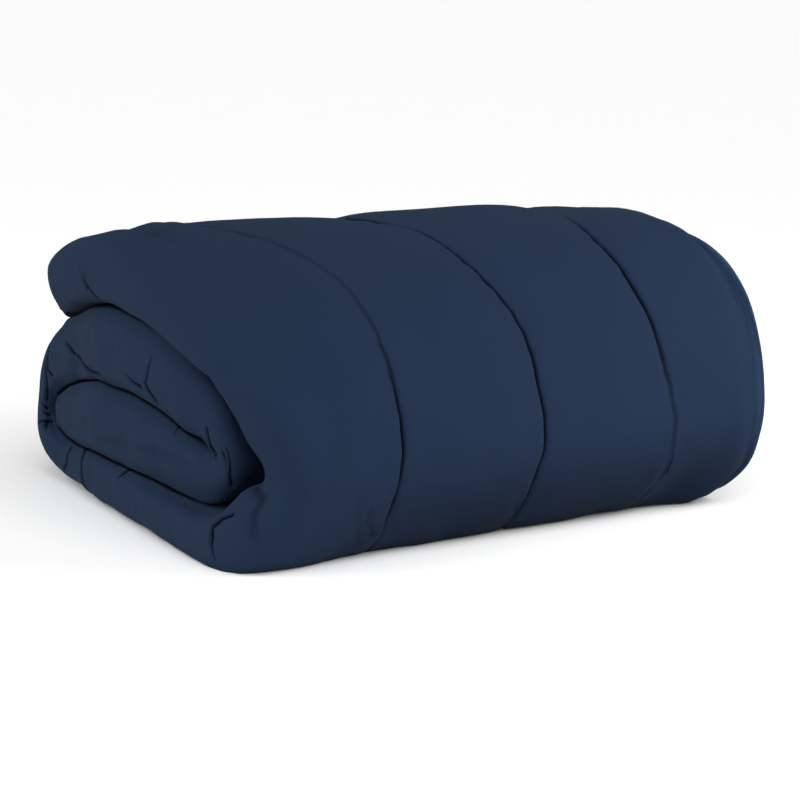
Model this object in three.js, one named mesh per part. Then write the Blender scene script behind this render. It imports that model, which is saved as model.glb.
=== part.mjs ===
// A filled comforter, folded in four across its width and then rolled flat into a bundle.
// Millimetres, +Z up. X runs along the roll, from the folded rim at -X to the sewn rim at +X,
// and -Y is the front. The bundle lies on its flat underside, at Z = 0.
import * as THREE from "three";

// Driving dimensions.
const HALF_LENGTH = 290; // half the roll, from the folded rim to the sewn rim
const CHANNEL_WIDTH = 150; // from one sewn line to the next
const FIRST_SEAM_X = -120; // the sewn line nearest the folded rim
const SEAM_COUNT = 3;
const SEAM_DEPTH = 9; // how far a sewn line draws the face in
const SEAM_SPREAD = 12; // the distance over which the face swells out again
const SEAM_SHOULDER = 18; // stations on each side of a sewn line
const FOLD_ROUND = 36; // the length over which the folded rim rounds off
const FOLD_POWER = 3; // 2 would make the rim an ellipse, more makes it fuller
const FOLD_STATION_DEGREES = [48, 62, 76, 90]; // round the fold, from its tip to the flat
const HEM_WIDTH = 12; // the flat stitched edge outside the last channel
const HEM_SWELL = 42; // the length over which the last channel thins towards the hem
const HEM_SHOULDER = { along: 0.3, share: 0.97 }; // a station on that slope, from the hem
const END_ROUND = 44; // the length over which the two ends of the roll's length thin out
const SWELL_FROM_X = 20; // the outer face grows fuller from here
const SWELL_TO_X = 240; // to here
const RIM_FADE_STATIONS = 3; // stations over which the lips of one rim close up towards the next rim
const TANGENT_STEP = 1e-4; // share of the winding on each side of a station that gives its direction
const REST_Z = 0; // the surface that the bundle lies on

// The line through the middle of the folded thickness, wound from the free end on top, over the front,
// underneath, up the back and in to the other end. out and in are the half thicknesses on the two sides
// of that line, fold is how far the folded rim stays short of -HALF_LENGTH, hem is how far the sewn rim
// stays short of +HALF_LENGTH, sewn is the share of the sewn lines' depth that shows there, and swell is
// how much fuller the outer face is towards the sewn rim.
const WINDING_COLUMNS = ["y", "z", "out", "in", "fold", "hem", "sewn", "swell"];
const WINDING = [
  [242, 194, 34, 34, 24, 1, 1, 0],
  [204, 207, 37, 35, 4, 1, 1, 0],
  [140, 226, 40, 34, 0, 0, 1, -6],
  [66, 238, 41, 36, 0, 0, 1, -9],
  [-4, 234, 40, 36, 2, 0, 1, 1],
  [-58, 219, 39, 35, 6, 0, 1, 13],
  [-106, 200, 37, 34, 11, 0, 1, 20],
  [-144, 176, 35, 31, 18, 0, 1, 20],
  [-172, 146, 33, 29, 34, 1, 1, 11],
  [-187, 106, 33, 28, 46, 3, 1, 3],
  [-186, 78, 34, 26, 46, 5, 0.9, 0],
  [-177, 56, 35, 25, 32, 7, 0.7, 0],
  [-159, 37, 36, 22, 15, 9, 0.4, 0],
  [-122, 26, 33, 20, 6, 9, 0.2, 0],
  [-54, 24, 27, 21, 3, 6, 0.2, 0],
  [18, 24, 27, 21, 3, 4, 0.2, 0],
  [90, 24, 27, 21, 3, 3, 0.2, 0],
  [150, 25, 27, 20, 3, 2, 0.3, 0],
  [206, 30, 27, 18, 3, 3, 0.7, 0],
  [240, 52, 27, 14, 3, 4, 1, 0],
  [249, 84, 27, 13, 3, 4, 1, 0],
  [230, 113, 28, 19, 3, 3, 1, 0],
  [184, 137, 32, 27, 3, 3, 1, 0],
  [124, 151, 38, 35, 3, 4, 1, 0],
  [50, 156, 40, 38, 5, 5, 1, 0],
  [-16, 151, 38, 35, 9, 6, 1, 0],
  [-70, 137, 34, 28, 15, 7, 1, 0],
  [-108, 116, 33, 16, 22, 8, 1, 0],
  [-121, 92, 32, 10, 27, 8, 1, 0],
  [-102, 78, 29, 16, 24, 7, 1, 0],
  [-44, 80, 32, 26, 14, 5, 1, 0],
  [30, 81, 33, 30, 6, 3, 1, 0],
  [100, 80, 33, 31, 3, 4, 1, 0],
  [168, 76, 28, 27, 4, 6, 1, 0],
  [220, 74, 22, 20, 12, 9, 1, 0],
];
const STEPS_PER_ROW = 3; // stations from one row to the next

// The sewn rim, from the outer face to the inner one: two hemmed edges lie over one folded edge.
// level is a share of the half thickness and back is how far the point stays short of +HALF_LENGTH.
const SEWN_RIM = [
  { level: 0.88, back: 0 },
  { level: 0.78, back: 2 },
  { level: 0.6, back: 26 },
  { level: 0.3, back: 6 },
  { level: 0.06, back: 34 },
  { level: -0.22, back: 18 },
  { level: -0.5, back: 8 },
  { level: -0.72, back: 14 },
  { level: -0.88, back: 28 },
];

// The two ends of the roll's length, where the edges of the four folded widths lie on each other.
const STACKED_EDGES = [
  { level: 0.9, back: 8 },
  { level: 0.72, back: 0 },
  { level: 0.5, back: 16 },
  { level: 0.25, back: 0 },
  { level: 0, back: 16 },
  { level: -0.25, back: 0 },
  { level: -0.5, back: 16 },
  { level: -0.72, back: 0 },
  { level: -0.9, back: 8 },
];

const RIM_STEPS = SEWN_RIM.length - 1;
const windingRows = WINDING.map((row) =>
  Object.fromEntries(WINDING_COLUMNS.map((name, i) => [name, row[i]])),
);
const seams = Array.from({ length: SEAM_COUNT }, (_, i) => FIRST_SEAM_X + i * CHANNEL_WIDTH);

// A smooth curve through two columns of the winding table, row by row.
function columnCurve(a, b) {
  const points = windingRows.map((row) => new THREE.Vector3(row[a], row[b], 0));
  return new THREE.CatmullRomCurve3(points, false, "catmullrom", 0.5);
}

// Stations along the winding: the middle line, its tangent and outward normal, and the sizes there.
function windingStations() {
  const line = columnCurve("y", "z");
  const halves = columnCurve("out", "in");
  const rims = columnCurve("fold", "hem");
  const faces = columnCurve("sewn", "swell");
  const count = (windingRows.length - 1) * STEPS_PER_ROW;
  const stations = [];
  let travelled = 0;
  for (let i = 0; i <= count; i++) {
    const u = i / count;
    const place = line.getPoint(u);
    const ahead = line.getPoint(Math.min(u + TANGENT_STEP, 1));
    const along = ahead.sub(line.getPoint(Math.max(u - TANGENT_STEP, 0))).normalize();
    const half = halves.getPoint(u);
    const rim = rims.getPoint(u);
    const face = faces.getPoint(u);
    travelled += i ? Math.hypot(place.x - stations[i - 1].y, place.y - stations[i - 1].z) : 0;
    stations.push({
      y: place.x,
      z: place.y,
      along: { y: along.x, z: along.y },
      outward: { y: along.y, z: -along.x },
      out: half.x,
      in: half.y,
      fold: rim.x,
      hem: rim.y,
      sewn: face.x,
      swell: face.y,
      travelled,
    });
  }
  return stations;
}

// A point on the folded rim, a turn away from its tip: where it is, and its share of the half thickness.
function foldedRim(turn) {
  const reach = Math.max(Math.cos(turn), 0) ** (2 / FOLD_POWER);
  const share = Math.sign(turn) * Math.abs(Math.sin(turn)) ** (2 / FOLD_POWER);
  return { x: -HALF_LENGTH + FOLD_ROUND * (1 - reach), share };
}

// Stations across the roll: x, the share of the half thickness there, and how far the sewn lines draw in.
function acrossStations() {
  const stations = FOLD_STATION_DEGREES.map((degrees) => foldedRim(THREE.MathUtils.degToRad(degrees)));
  const hemStart = HALF_LENGTH - HEM_WIDTH;
  seams.forEach((seam, i) => {
    const channelStart = i ? seams[i - 1] : -HALF_LENGTH + FOLD_ROUND;
    stations.push({ x: (channelStart + seam) / 2, share: 1 });
    [-SEAM_SHOULDER, 0, SEAM_SHOULDER].forEach((offset) => stations.push({ x: seam + offset, share: 1 }));
  });
  stations.push({ x: hemStart - HEM_SWELL, share: 1 });
  stations.push({ x: hemStart - HEM_SWELL * HEM_SHOULDER.along, share: HEM_SHOULDER.share });
  stations.push({ x: hemStart, share: SEWN_RIM[0].level });
  stations.push({ x: HALF_LENGTH, share: SEWN_RIM[0].level });
  stations.forEach((station) => {
    const nearest = Math.min(...seams.map((seam) => Math.abs(seam - station.x)));
    station.dent = SEAM_DEPTH * Math.exp(-nearest / SEAM_SPREAD);
    station.fullness = THREE.MathUtils.smoothstep(station.x, SWELL_FROM_X, SWELL_TO_X);
  });
  return stations;
}

// The share of the thickness left at a distance from either end of the winding.
function endShare(distance) {
  const tip = STACKED_EDGES[0].level;
  const left = 1 - Math.min(distance / END_ROUND, 1);
  return tip + (1 - tip) * Math.sqrt(1 - left * left);
}

// One closed skin on the grid of a box: stations along the winding, across it, and round its rims.
function comforterGeometry() {
  const along = windingStations();
  const across = acrossStations();
  const lastAlong = along.length - 1;
  const lastAcross = across.length - 1;
  const length = along[lastAlong].travelled;
  const lastSeam = seams[SEAM_COUNT - 1];
  const innerReach = 1 - SEWN_RIM[RIM_STEPS].back / (HALF_LENGTH - lastSeam);
  const foldTip = THREE.MathUtils.degToRad(FOLD_STATION_DEGREES[0]);

  // How far a face stands off the middle line.
  function faceHeight(wind, cross, outer) {
    const half = outer ? wind.out + wind.swell * cross.fullness : wind.in;
    const toEnd = Math.min(wind.travelled, length - wind.travelled);
    return half * cross.share * endShare(toEnd) - cross.dent * wind.sewn;
  }

  function place(i, j, k) {
    const wind = along[i];
    const cross = across[j];
    const atEnd = i === 0 || i === lastAlong;
    const hemDepth = Math.min(Math.min(i, lastAlong - i) / RIM_FADE_STATIONS, 1);
    const endDepth = Math.min(Math.min(j, lastAcross - j) / RIM_FADE_STATIONS, 1);
    let x = cross.x;
    let level = k === 0 ? 1 : -1;
    let slide = 0;
    if (j === 0) {
      const rim = foldedRim(foldTip * (1 - (2 * k) / RIM_STEPS));
      x = rim.x;
      level = rim.share / cross.share;
    } else if (j === lastAcross) {
      x = HALF_LENGTH - SEWN_RIM[k].back * hemDepth;
      level = SEWN_RIM[k].level / SEWN_RIM[0].level;
    } else if (k === RIM_STEPS && x > lastSeam) {
      x = lastSeam + (x - lastSeam) * innerReach;
    } else if (atEnd) {
      level = STACKED_EDGES[k].level / STACKED_EDGES[0].level;
      slide = STACKED_EDGES[k].back * endDepth * (i === 0 ? 1 : -1);
    }
    const rise = faceHeight(wind, cross, level > 0) * level;
    const foldPull = THREE.MathUtils.smoothstep(-x, -FIRST_SEAM_X, HALF_LENGTH);
    const hemPull = THREE.MathUtils.smoothstep(x, lastSeam, HALF_LENGTH);
    return new THREE.Vector3(
      x + wind.fold * foldPull - wind.hem * hemPull,
      wind.y + wind.outward.y * rise + wind.along.y * slide,
      Math.max(wind.z + wind.outward.z * rise + wind.along.z * slide, REST_Z),
    );
  }

  const positions = [];
  const numbers = new Map();
  function vertex(i, j, k) {
    const key = `${i},${j},${k}`;
    if (!numbers.has(key)) {
      numbers.set(key, positions.length / 3);
      positions.push(...place(i, j, k).toArray());
    }
    return numbers.get(key);
  }
  const indices = [];
  function quad(a, b, c, d) {
    indices.push(a, b, c, a, c, d);
  }
  for (let i = 0; i < lastAlong; i++) {
    for (let j = 0; j < lastAcross; j++) {
      quad(vertex(i, j, 0), vertex(i + 1, j, 0), vertex(i + 1, j + 1, 0), vertex(i, j + 1, 0));
      const k = RIM_STEPS;
      quad(vertex(i, j, k), vertex(i, j + 1, k), vertex(i + 1, j + 1, k), vertex(i + 1, j, k));
    }
    for (let k = 0; k < RIM_STEPS; k++) {
      quad(vertex(i, 0, k), vertex(i, 0, k + 1), vertex(i + 1, 0, k + 1), vertex(i + 1, 0, k));
      const j = lastAcross;
      quad(vertex(i, j, k), vertex(i + 1, j, k), vertex(i + 1, j, k + 1), vertex(i, j, k + 1));
    }
  }
  for (let j = 0; j < lastAcross; j++) {
    for (let k = 0; k < RIM_STEPS; k++) {
      quad(vertex(0, j, k), vertex(0, j + 1, k), vertex(0, j + 1, k + 1), vertex(0, j, k + 1));
      const i = lastAlong;
      quad(vertex(i, j, k), vertex(i, j, k + 1), vertex(i, j + 1, k + 1), vertex(i, j + 1, k));
    }
  }
  const geometry = new THREE.BufferGeometry();
  geometry.setAttribute("position", new THREE.Float32BufferAttribute(positions, 3));
  geometry.setIndex(indices);
  geometry.computeVertexNormals();
  return geometry;
}

// Sets the origin under the middle of the bundle's box.
function centreOnRest(geometry) {
  geometry.computeBoundingBox();
  const box = geometry.boundingBox;
  geometry.translate(-(box.min.x + box.max.x) / 2, -(box.min.y + box.max.y) / 2, -box.min.z);
  return geometry;
}

const navyCloth = new THREE.MeshStandardMaterial({ color: 0x26334b, roughness: 0.85, metalness: 0 });
const comforter = new THREE.Mesh(centreOnRest(comforterGeometry()), navyCloth);
comforter.name = "comforter";

const bundle = new THREE.Group();
bundle.add(comforter);

export default bundle;
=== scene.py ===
import math

import bmesh
import bpy
import numpy as np
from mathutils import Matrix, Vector
from mathutils.bvhtree import BVHTree


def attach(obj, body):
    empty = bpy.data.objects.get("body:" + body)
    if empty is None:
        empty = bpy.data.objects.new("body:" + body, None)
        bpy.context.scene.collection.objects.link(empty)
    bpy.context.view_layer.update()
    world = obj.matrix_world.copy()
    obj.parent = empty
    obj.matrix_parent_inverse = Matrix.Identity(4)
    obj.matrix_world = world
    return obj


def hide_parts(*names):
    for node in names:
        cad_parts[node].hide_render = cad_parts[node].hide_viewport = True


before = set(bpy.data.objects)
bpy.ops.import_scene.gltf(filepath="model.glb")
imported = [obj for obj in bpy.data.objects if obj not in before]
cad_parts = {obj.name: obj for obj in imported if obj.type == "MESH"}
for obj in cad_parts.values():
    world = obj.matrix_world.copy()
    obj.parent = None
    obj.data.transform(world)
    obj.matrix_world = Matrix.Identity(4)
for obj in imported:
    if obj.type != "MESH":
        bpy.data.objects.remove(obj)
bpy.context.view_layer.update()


# The comforter: two faces of navy microfibre with fibre filling between them, sewn through in channels
# and hemmed round the edge. It is folded in four across its width, rolled flat, and lies by its own weight.
MM = 0.001  # the sizes below are in millimetres

HALF_LENGTH = 290.0  # half the roll, from the folded rim to the sewn rim
CHANNEL_WIDTH = 150.0  # from one sewn line to the next
FIRST_SEAM_X = -120.0  # the sewn line nearest the folded rim
SEAMS = FIRST_SEAM_X + CHANNEL_WIDTH * np.arange(3)
LAST_SEAM_X = SEAMS[-1]
MIDDLE_Y = 28.0  # from the origin of the winding table to the middle of the bundle
FOLD_ROUND = 36.0  # a middling length over which the folded rim rounds off
FOLD_POWER = 3.0  # 2 would make the rim an ellipse, more makes it fuller
HEM_WIDTH = 12.0  # the flat stitched edge outside the last channel
HEM_SWELL = 42.0  # the length over which the last channel thins towards the hem
HEM_FLATNESS = 3.9  # how late on that slope the channel drops
END_ROUND = 44.0  # the two ends of the winding thin out over this length
END_THINS = 0.1  # the share of the thickness that they lose
END_INSET = 8.0  # how far the stacked edges stand out past the faces at those ends
END_SEAM = 16.0  # the length over which the sewn lines run out there
FLOOR_SOFT = 4.0  # the cloth flattens this near the floor
FLOOR_CLEAR = 0.1  # and stays this far above it
END_CREASE = 14.0  # how deep the creases between the stacked edges run
STACKED_WIDTHS = 4  # the folded widths that lie on each other
SWELL_X = (20.0, 240.0)  # the outer face grows fuller from here to here

# The line through the middle of the folded thickness, wound from the free end on top, over the
# front, underneath, up the back and in to the other end. out and in are the half thicknesses on
# the two sides of it, fold and hem are how far the folded and the sewn rim stay short of the
# roll's ends, sewn is the share of the sewn lines' depth that shows, and swell is how much fuller
# the outer face is towards the sewn rim.
WINDING_COLUMNS = ("y", "z", "out", "in", "fold", "hem", "sewn", "swell")
WINDING = np.array([
    (242, 194, 34, 34, 24, 1, 1, 0),
    (204, 207, 37, 35, 4, 1, 1, 0),
    (140, 226, 40, 34, 0, 0, 1, -6),
    (66, 238, 41, 36, 0, 0, 1, -9),
    (-4, 234, 40, 36, 2, 0, 1, 1),
    (-58, 219, 39, 35, 6, 0, 1, 13),
    (-106, 200, 37, 34, 11, 0, 1, 20),
    (-144, 176, 35, 31, 18, 0, 1, 20),
    (-172, 146, 33, 29, 34, 1, 1, 11),
    (-187, 106, 33, 28, 46, 3, 1, 3),
    (-186, 78, 34, 26, 46, 5, 0.9, 0),
    (-177, 56, 35, 25, 32, 7, 0.7, 0),
    (-159, 37, 36, 22, 15, 9, 0.4, 0),
    (-122, 26, 33, 20, 6, 9, 0.2, 0),
    (-54, 24, 27, 21, 3, 6, 0.2, 0),
    (18, 24, 27, 21, 3, 4, 0.2, 0),
    (90, 24, 27, 21, 3, 3, 0.2, 0),
    (150, 25, 27, 20, 3, 2, 0.3, 0),
    (206, 30, 27, 18, 3, 3, 0.7, 0),
    (240, 52, 27, 14, 3, 4, 1, 0),
    (249, 84, 27, 13, 3, 4, 1, 0),
    (230, 113, 28, 19, 3, 3, 1, 0),
    (184, 137, 32, 27, 3, 3, 1, 0),
    (124, 151, 38, 35, 3, 4, 1, 0),
    (50, 156, 40, 38, 5, 5, 1, 0),
    (-16, 151, 38, 35, 9, 6, 1, 0),
    (-70, 137, 34, 28, 15, 7, 1, 0),
    (-108, 116, 33, 16, 22, 8, 1, 0),
    (-121, 92, 32, 10, 27, 8, 1, 0),
    (-102, 78, 29, 16, 24, 7, 1, 0),
    (-44, 80, 32, 26, 14, 5, 1, 0),
    (30, 81, 33, 30, 6, 3, 1, 0),
    (100, 80, 33, 31, 3, 4, 1, 0),
    (168, 76, 28, 27, 4, 6, 1, 0),
    (220, 74, 22, 20, 12, 9, 1, 0),
])
LAST_ROW = len(WINDING) - 1

# How the folded rim rounds off on its outer and its inner side, by rows of the winding: long and soft
# where it lies open, short and full where it is pressed on the next layer.
FOLD_COLUMNS = ("row", "out_round", "out_power", "in_round", "in_power")
FOLD_SHAPE = np.array([
    (0, 44, 2.6, 30, 3.0),
    (2, 42, 3.1, 24, 3.4),
    (2.6, 40, 3.1, 24, 3.4),
    (3.6, 18, 2.2, 22, 3.6),
    (7, 18, 2.2, 18, 3.8),
    (8.5, 42, 3.1, 15, 3.8),
    (11, 44, 2.7, 16, 3.8),
    (12.5, 34, 3.0, 22, 3.6),
    (14, 36, 3.0, 24, 3.4),
    (17, 36, 3.0, 24, 3.4),
    (19, 34, 2.8, 20, 4.0),
    (21, 30, 2.9, 20, 4.0),
    (22.5, 28, 3.0, 24, 3.4),
    (26, 26, 3.2, 24, 3.4),
    (27.2, 17, 2.8, 18, 3.6),
    (28.6, 17, 2.8, 18, 3.6),
    (30.5, 26, 3.2, 26, 3.2),
    (34, 26, 3.2, 26, 3.2),
])

# How far each sewn line strays along the roll, and the share of its depth that shows, by rows of the
# winding.
STRAY = np.array([
    (0, -70, -45, 12),
    (2.5, -76, -48, 14),
    (3.3, -75, -48, 13),
    (3.9, -48, -24, 5),
    (4.5, -25, -14, 2),
    (5.2, -11, -9, -9),
    (5.9, 0, -4, -15),
    (7, 1, 2, -17),
    (8.2, 0, 0, -12),
    (9.3, 0, 0, -4),
    (10.5, -8, -9, -4),
    (11.8, -14, -16, -20),
    (14, -8, -8, -10),
    (18, 0, 0, 0),
    (34, 0, 0, 0),
])
SEAM_SHOWS = np.array([
    (0, 0.8, 1, 1),
    (2, 0.7, 1, 1),
    (3.2, 0.5, 1, 1),
    (4.5, 0.2, 1, 1.1),
    (6.5, 0.3, 1.1, 1.1),
    (7.6, 0.55, 1.1, 0.9),
    (8.4, 0.85, 1, 0.6),
    (9.0, 1, 1, 0.2),
    (9.9, 1, 1, 0.1),
    (10.3, 1, 1.2, 0.4),
    (10.7, 1.1, 1.3, 0.5),
    (11.0, 1.2, 1.4, 0.5),
    (11.4, 1.3, 1.5, 0.5),
    (12.5, 1, 1, 0.6),
    (34, 1, 1, 1),
])
# What the folded rim adds to the winding: how far it lies further back, how much thicker its outer
# and its inner side are, and how much further it stays short of the roll's end.
RIM_COLUMNS = ("row", "back", "out", "in", "short")
RIM_CHANGE = np.array([
    (0, 0, -3, -6, -3),
    (1.0, 0, -4, -9, -4),
    (1.5, 0, -5, -7, -4),
    (2.2, 0, -5, -7, -2),
    (2.9, 0, -7, -8, 0),
    (3.8, 0, -24, -5, 0),
    (5, 0, -31, -8, 0),
    (5.9, 0, -31, -13, 0),
    (6.6, 0, -29, -17, 0),
    (7.2, 0, -25, -20, 0),
    (7.8, 0, -13, -5, 0),
    (8.2, 0, -6, -2, 0),
    (8.6, 0, -2, 0, 0),
    (9.4, 0, 0, -8, 4),
    (10, 0, 0, -11, 7),
    (10.6, 0, 1, -4, 2),
    (11.2, 0, 4, -5, 0),
    (11.8, 0, 5, -9, 0),
    (12.4, 0, 4, -8, 0),
    (13, 0, 0, -3, 1),
    (13.6, 0, -2, 0, 0),
    (14.4, 0, -3, 0, -1),
    (15.2, 0, -3, 5, -1),
    (16.6, 0, -5, 6, 0),
    (17.2, 0, -8, 3, 2),
    (18, 0, -2, 0, 2),
    (18.6, 0, 4, -3, 1),
    (19.2, 0, 9, -4, 1),
    (20, 0, 6, -3, 4),
    (21, 0, 11, -2, 3),
    (21.8, 0, 10, -2, 3),
    (22.6, 0, 5, -6, 3),
    (23.4, 0, 7, -10, -2),
    (24.2, 0, 6, -11, -3),
    (25, 0, 6, -8, -2),
    (25.6, 0, 7, -4, 0),
    (26.2, 0, 7, 0, 1),
    (26.8, 0, 4, 0, 3),
    (27.3, 0, -8, 0, 4),
    (27.8, 0, -13, 0, 5),
    (28.2, 0, -10, 0, 4),
    (28.6, 0, -3, 0, 2),
    (29, 0, 4, 0, 0),
    (29.5, 0, 3, 0, 0),
    (30, 0, 0, 4, 0),
    (31, 0, -4, 12, 0),
    (32, 0, -6, 16, -1),
    (33, 6, -2, 7, 0),
    (34, 18, 2, -6, 0),
])
RIM_CHANGE_X = (150.0, 285.0)  # it starts this far to the folded side, and is whole from there
# How far the rim's tip is drawn down from the middle of its layer, by rows of the winding: the top flap
# hangs over the layer under it.
RIM_DRAWN = np.array([
    (0, 0), (2.9, 0), (3.8, 10), (5, 14), (5.9, 14), (6.6, 12), (7.2, 9), (7.8, 4), (8.4, 0), (34, 0),
])

# The hollow between the front wall and the innermost turn, by rows of the winding. It runs in from just
# behind the folded rim.
HOLLOW = np.array([
    (0, 0), (25.8, 0), (26.6, 9), (27.2, 17), (27.8, 20), (28.3, 16), (28.8, 5), (29.2, 0), (34, 0),
])
HOLLOW_X = (60.0, 130.0, 248.0, 272.0)  # it starts, is whole, narrows and ends this far to the folded side

# The sewn rim from the outer face to the inner one: two hemmed edges lie over one folded edge.
# back is how far a point stays short of the roll's end, level its share of the half thickness.
SEWN_RIM = np.array([
    (6, 0.845), (5, 0.835), (3, 0.90), (1.2, 0.985), (0, 0.975), (1.5, 0.92), (13, 0.78), (26, 0.62),
    (15, 0.52), (8, 0.42), (5.5, 0.33), (10, 0.25), (34, 0.06), (20, -0.05), (10, -0.27), (8, -0.5),
    (14, -0.74), (28, -0.88), (34, -0.93),
])
# The hem's painted highlight lies on the hemmed edge, between these points.
HEM_HIGHLIGHT_SPAN = (0.4, 1.4, 4.6, 6.0)  # the points of that rim between which the hemmed edge starts and ends
# How far the hem drops behind the last channel's swell, by rows of the winding.
HEM_DROP = np.array([
    (0, 8), (2, 12), (3.5, 14), (5, 13), (5.7, 10), (6.4, 6), (7.2, 3.5), (8.2, 1), (9, 0), (9.8, 2),
    (10.6, 6), (11.6, 9), (12.6, 8), (14, 0), (34, 0),
])
HEM_DROP_X = (266.0, 288.0)  # it starts this far to the sewn side, and is whole from there
# How much further the sewn rim stays short of the roll's end.
HEM_SHORT = np.array([
    (0, 0), (7.5, 0), (8.5, 3), (10, 3), (10.7, 1), (11.2, 2), (11.7, 11), (12.5, 24), (14, 12), (17, 0),
    (34, 0),
])
HEM_WAVE = 1.6  # how far the hemmed edge waves in and out
HEM_WAVE_LENGTH = 34.0
# A painted highlight makes the hem's pressed edge paler: its share, by rows of the winding.
HEM_HIGHLIGHT_ROWS = np.array([(0, 0.2), (5.4, 0.2), (6.3, 1), (9.8, 1), (10.8, 0.3), (34, 0.3)])

# Rounds of evening out that the values of these tables get along the winding, and places per row.
RIM_EVEN = 14
SEAM_EVEN = 12
STRAY_EVEN = 40
HEM_EVEN = 30
LIP_EVEN = 8
TABLE_STEPS = 20
WINDING_STEPS = 200  # places per row at which the winding is measured

SEWN_STEPS = 2 * (len(SEWN_RIM) - 1)  # mesh steps round the sewn rim
FOLD_STEPS = 2 * SEWN_STEPS  # and round the folded rim, which shows more
ALONG_STEP = 3.2  # mesh step along the winding
FACE_STEPS = {"plain": 7.5, "seam": 0.8, "reach": 20.0}  # across the face that shows
INNER_STEPS = {"plain": 26.0, "seam": 10.0, "reach": 40.0}  # across the face that is rolled in
NOMINAL_HALF = 33.0  # the half thickness that distances round the rims are measured with


def smoothstep(value, start, end):
    share = np.clip((value - start) / (end - start), 0, 1)
    return share * share * (3 - 2 * share)


def above_floor(z):
    """Heights with all that would reach the floor or pass it pressed together just above it."""
    flattened = FLOOR_SOFT * np.exp((np.minimum(z, FLOOR_SOFT) - FLOOR_SOFT) / FLOOR_SOFT)
    return np.where(z < FLOOR_SOFT, flattened, z)


def along_table(table, column, row, rounds):
    """A column of a table at rows of the winding, with the corners at the table's own rows evened out."""
    places = np.linspace(0, LAST_ROW, TABLE_STEPS * LAST_ROW + 1)
    values = np.interp(places, table[:, 0], table[:, column])
    for _ in range(rounds):
        values[1:-1] = (values[:-2] + 2 * values[1:-1] + values[2:]) / 4
    return np.interp(row, places, values)


def soft_noise(a, b, seed):
    """Smooth random values from -1 to 1 over two coordinates, the same on every run."""
    size = 64
    lattice = np.random.RandomState(seed).uniform(-1, 1, (size, size))
    a, b = np.broadcast_arrays(a, b)
    i, j = np.floor(a).astype(int), np.floor(b).astype(int)
    f, g = smoothstep(a - i, 0, 1), smoothstep(b - j, 0, 1)
    low = lattice[i % size, j % size] * (1 - f) + lattice[(i + 1) % size, j % size] * f
    high = lattice[i % size, (j + 1) % size] * (1 - f) + lattice[(i + 1) % size, (j + 1) % size] * f
    return low * (1 - g) + high * g


def through_rows(column, u):
    """A smooth curve through a column of a table, at places counted in rows."""
    ends = np.concatenate((2 * column[:1] - column[1:2], column, 2 * column[-1:] - column[-2:-1]))
    row = np.clip(np.floor(u).astype(int), 0, len(column) - 2)
    f = u - row
    before, start, end, after = (ends[row + k] for k in range(4))
    leave, arrive = (end - before) / 2, (after - start) / 2
    cubic = 2 * start - 2 * end + leave + arrive
    square = -3 * start + 3 * end - 2 * leave - arrive
    return ((cubic * f + square) * f + leave) * f + start


def winding_at(u):
    """The winding's columns at places counted in rows, with its direction and its outward normal."""
    wind = {name: through_rows(WINDING[:, i], u) for i, name in enumerate(WINDING_COLUMNS)}
    small = 1e-3
    ahead, behind = np.clip(u + small, 0, LAST_ROW), np.clip(u - small, 0, LAST_ROW)
    run_y = through_rows(WINDING[:, 0], ahead) - through_rows(WINDING[:, 0], behind)
    run_z = through_rows(WINDING[:, 1], ahead) - through_rows(WINDING[:, 1], behind)
    run = np.hypot(run_y, run_z)
    wind["along_y"], wind["along_z"] = run_y / run, run_z / run
    wind["outward_y"], wind["outward_z"] = wind["along_z"], -wind["along_y"]
    return wind


def graded(anchors, steps):
    """Stations across the roll between the first anchor and the last, closest together at the sewn lines."""
    stations = []
    for start, end in zip(anchors[:-1], anchors[1:]):
        x = np.linspace(start, end, 801)
        nearest = np.abs(x[:, None] - SEAMS[None, :]).min(1)
        spacing = steps["seam"] + (steps["plain"] - steps["seam"]) * smoothstep(nearest, 0, steps["reach"])
        count = np.concatenate(([0], np.cumsum(np.abs(np.diff(x)) / (spacing[1:] + spacing[:-1]) * 2)))
        number = max(int(round(count[-1])), 2)
        stations.extend(np.interp(np.linspace(0, count[-1], number + 1), count, x)[:-1])
    return np.array(stations[1:])


# Stations along the winding, evenly spaced between its middle line and its outer face.
rows_fine = np.linspace(0, LAST_ROW, WINDING_STEPS * LAST_ROW + 1)
fine = winding_at(rows_fine)


def path_length(y, z):
    return np.concatenate(([0], np.cumsum(np.hypot(np.diff(y), np.diff(z)))))


middle_run = path_length(fine["y"], fine["z"])
outer_y = fine["y"] + fine["outward_y"] * fine["out"]
outer_z = fine["z"] + fine["outward_z"] * fine["out"]
outer_run = path_length(outer_y, outer_z)
LENGTH = middle_run[-1]
first_row, last_row = np.interp([END_INSET, LENGTH - END_INSET], middle_run, rows_fine)
even = (middle_run + outer_run) / 2
even_start, even_end = np.interp([first_row, last_row], rows_fine, even)
along_count = int(round((even_end - even_start) / ALONG_STEP)) + 1
rows = np.interp(np.linspace(even_start, even_end, along_count), even, rows_fine)
wind = winding_at(rows)
travelled = np.interp(rows, rows_fine, middle_run)


# The section across the roll as one closed loop: up round the folded rim, over the outer face,
# down the sewn rim and back under the inner face.
def fold_section(turn, length, power):
    """The folded rim a turn away from its tip: how far behind the tip, and the share of the thickness."""
    back = length * (1 - np.clip(np.cos(turn), 0, 1) ** (2 / power))
    return back, np.sign(turn) * np.abs(np.sin(turn)) ** (2 / power)


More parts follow.
